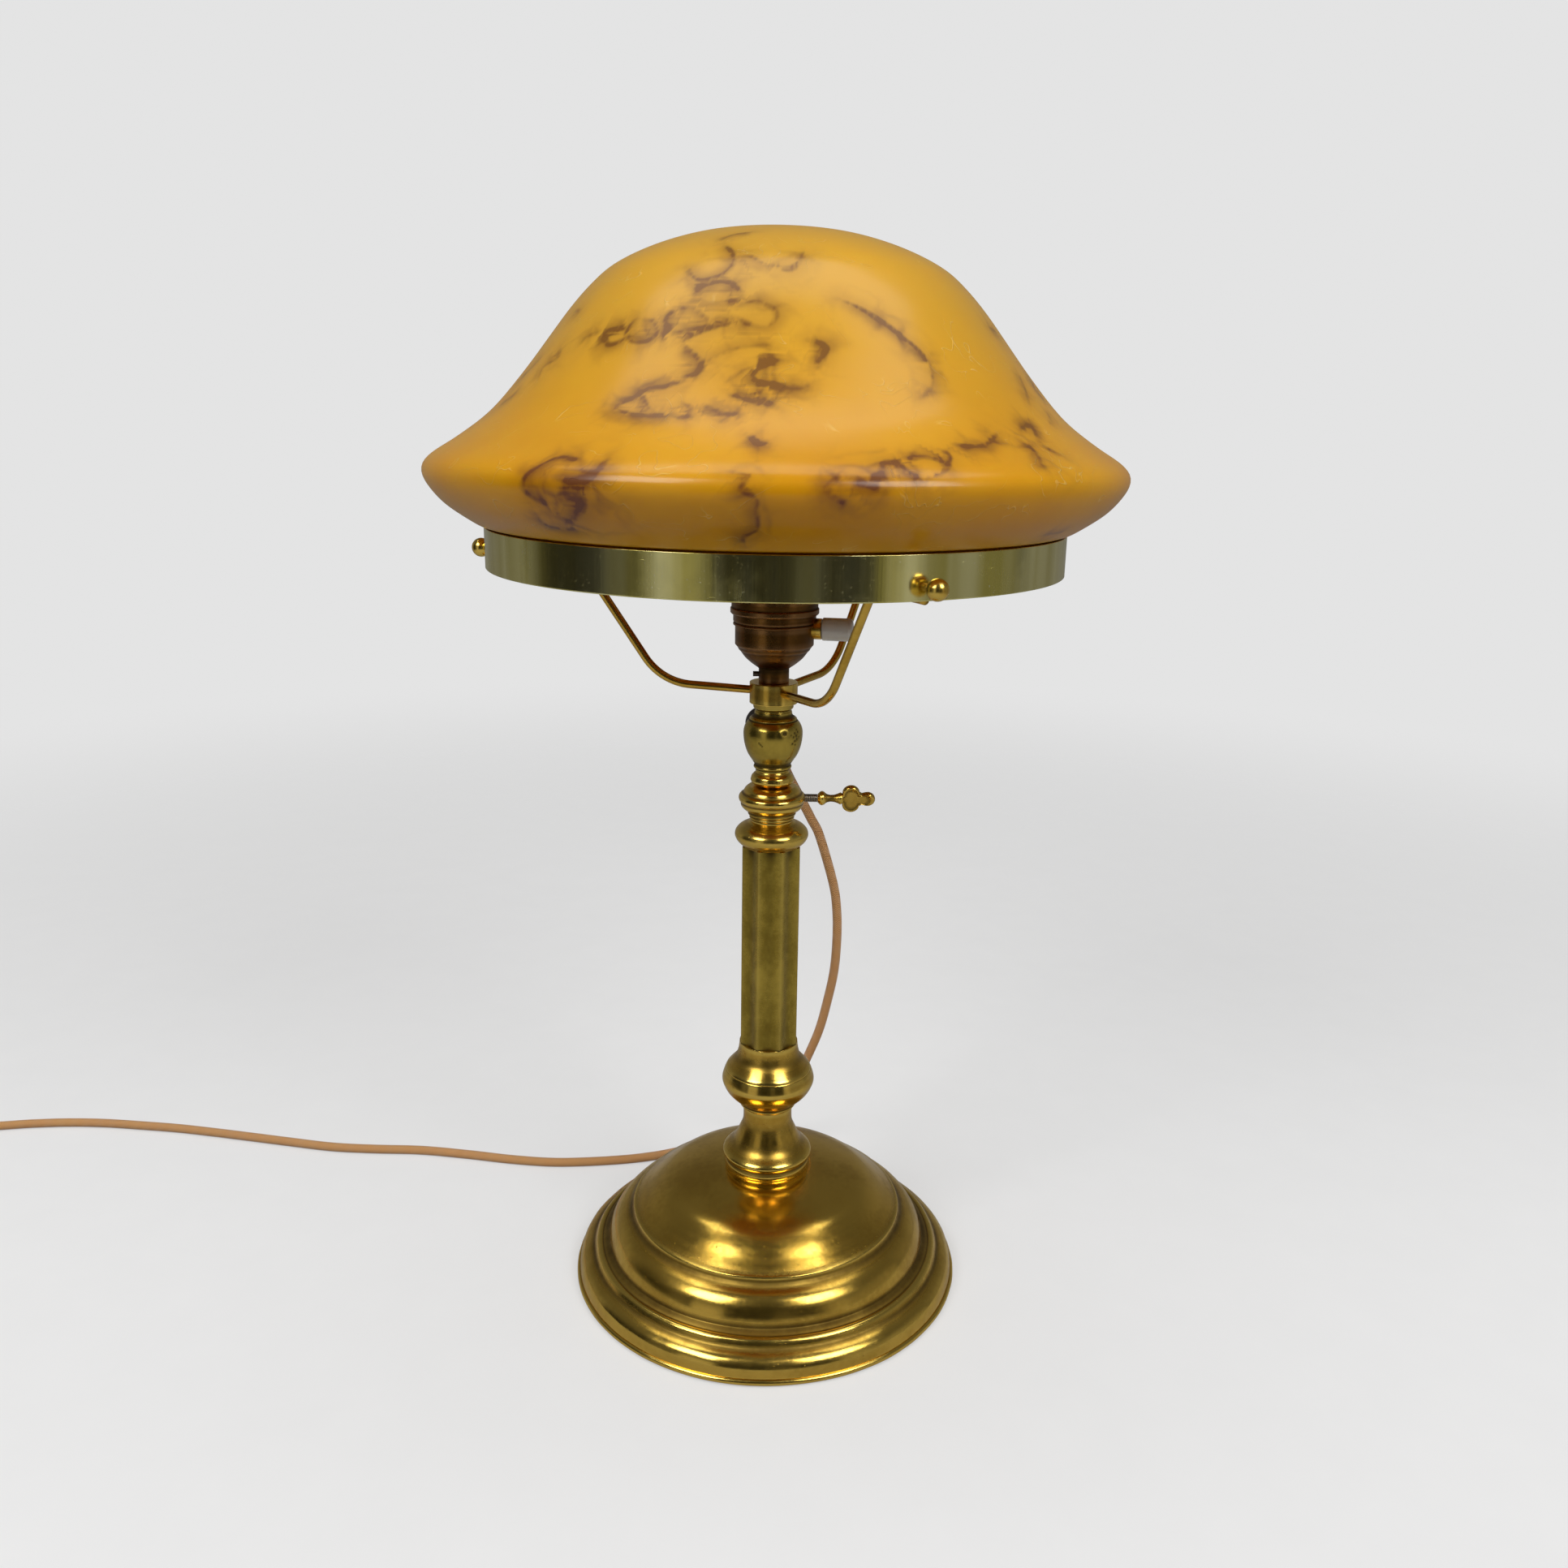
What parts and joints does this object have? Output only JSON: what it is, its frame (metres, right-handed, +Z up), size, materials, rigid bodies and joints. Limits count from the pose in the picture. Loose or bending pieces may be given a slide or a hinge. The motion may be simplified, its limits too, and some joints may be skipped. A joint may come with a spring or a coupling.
{
  "type": "desk lamp",
  "caption": "Table lamp with a stepped brass base, a fluted column, a sliding stem with a clamp key, a gallery ring on thin arms and a flared marbled amber glass shade; textile cord with plug.",
  "frame": {"origin": "centre of the underside of the base, on the table", "axes": "+Z up along the column, +X towards the clamp key, the front faces -Y; the cord leaves to -X"},
  "size_m": [0.698, 0.304, 0.4984],
  "materials": {
    "polished_brass": "polished, softly dented",
    "aged_brass": "aged, olive-gold",
    "bright_brass": "brushed, bright",
    "bronze": "dark bronze patina",
    "steel": "plain",
    "iron": "as cast",
    "felt": "felt",
    "textile": "woven copper-gold textile sleeve",
    "wire": "insulated wire",
    "porcelain": "glazed white porcelain",
    "bakelite": "black-brown bakelite",
    "pin_metal": "plated",
    "amber_glass": "opal amber glass with brown marbling, satin",
    "bulb_glass": "frosted",
    "cap_metal": "thin formed metal"
  },
  "bodies": {
    "base": {"felt_pad": "felt", "base_weight": "iron", "base_shell": "polished_brass", "base_washer": "steel", "base_nut": "steel", "tie_rod": "steel", "column_foot": "polished_brass", "knop_lower": "polished_brass", "knop_upper": "polished_brass", "guide_tube": "aged_brass", "fluted_tube": "aged_brass", "column_flange": "polished_brass", "clamp_collar": "polished_brass", "cord_lead": "textile", "cord_coil": "textile", "cord_tail": "textile", "plug_relief": "bakelite", "plug_body": "bakelite", "plug_pins": "pin_metal"},
    "clamp_screw": {"clamp_screw": "steel"},
    "clamp_key": {"clamp_key": "polished_brass"},
    "stem": {"stem_tube": "polished_brass", "stop_bead": "polished_brass", "stem_ball": "aged_brass", "spacer_ring": "aged_brass", "stem_nipple": "polished_brass", "cord_bush": "bakelite", "inner_leads": "wire", "arm_hub": "polished_brass", "arm_front": "polished_brass", "arm_back": "polished_brass", "arm_left": "polished_brass", "gallery_ring": "bright_brass", "holder_cap": "bronze", "holder_grub_screw": "steel", "holder_core": "porcelain", "centre_contact": "polished_brass", "screw_shell": "polished_brass", "shell_liner": "porcelain", "holder_sleeve": "bronze", "holder_ring": "bronze", "switch_bush": "polished_brass", "cord_relief": "bakelite"},
    "switch": {"switch_spindle": "steel", "switch_knob": "porcelain"},
    "bulb_foot": {"bulb_contact": "bakelite"},
    "bulb": {"bulb_cap": "cap_metal", "bulb_glass": "bulb_glass"},
    "shade": {"glass_shade": "amber_glass"},
    "screw_front": {"screw_front": "polished_brass"},
    "head_front": {"head_front": "polished_brass"},
    "screw_back": {"screw_back": "polished_brass"},
    "head_back": {"head_back": "polished_brass"},
    "screw_left": {"screw_left": "polished_brass"},
    "head_left": {"head_left": "polished_brass"}
  },
  "joints": [
    {"name": "stem_slide", "type": "slide", "parent": "base", "child": "stem", "axis": [0, 0, 1], "range_m": [0, 0.11]},
    {"name": "clamp_advance", "type": "slide", "parent": "base", "child": "clamp_screw", "axis": [1, 0, 0], "range_m": [0, 0.0014]},
    {"name": "clamp_turn", "type": "hinge", "parent": "clamp_screw", "child": "clamp_key", "pos_m": [0.0215, 0, 0.24974], "axis": [1, 0, 0], "range_deg": [0, 720]},
    {"name": "screw_front_advance", "type": "slide", "parent": "stem", "child": "screw_front", "axis": [0.4462, -0.8949, 0], "range_m": [0, 0.0015]},
    {"name": "screw_front_turn", "type": "hinge", "parent": "screw_front", "child": "head_front", "pos_m": [0.05823, -0.11679, 0.36326], "axis": [0.4462, -0.8949, 0], "range_deg": [0, 1080]},
    {"name": "screw_back_advance", "type": "slide", "parent": "stem", "child": "screw_back", "axis": [0.5519, 0.8339, 0], "range_m": [0, 0.0015]},
    {"name": "screw_back_turn", "type": "hinge", "parent": "screw_back", "child": "head_back", "pos_m": [0.07203, 0.10882, 0.36326], "axis": [0.5519, 0.8339, 0], "range_deg": [0, 1080]},
    {"name": "screw_left_advance", "type": "slide", "parent": "stem", "child": "screw_left", "axis": [-0.9981, 0.0611, 0], "range_m": [0, 0.0015]},
    {"name": "screw_left_turn", "type": "hinge", "parent": "screw_left", "child": "head_left", "pos_m": [-0.13026, 0.00797, 0.36326], "axis": [-0.9981, 0.0611, 0], "range_deg": [0, 1080]},
    {"name": "switch_turn", "type": "hinge", "parent": "stem", "child": "switch", "pos_m": [0.02169, -0.00305, 0.3303], "axis": [0.9903, -0.1392, 0], "continuous": true},
    {"name": "shade_lift", "type": "slide", "parent": "stem", "child": "shade", "axis": [0, 0, 1], "range_m": [0, 0.15]},
    {"name": "bulb_advance", "type": "slide", "parent": "stem", "child": "bulb_foot", "axis": [0, 0, 1], "range_m": [0, 0.022]},
    {"name": "bulb_turn", "type": "hinge", "parent": "bulb_foot", "child": "bulb", "pos_m": [0, 0, 0.3389], "axis": [0, 0, 1], "range_deg": [0, 2160]}
  ],
  "couplings": [
    {"joint": "clamp_turn", "follows": "clamp_advance", "rad_per_m": 8976},
    {"joint": "screw_front_turn", "follows": "screw_front_advance", "rad_per_m": 12566},
    {"joint": "screw_back_turn", "follows": "screw_back_advance", "rad_per_m": 12566},
    {"joint": "screw_left_turn", "follows": "screw_left_advance", "rad_per_m": 12566},
    {"joint": "bulb_advance", "follows": "bulb_turn", "m_per_rad": 0.00057758}
  ]
}
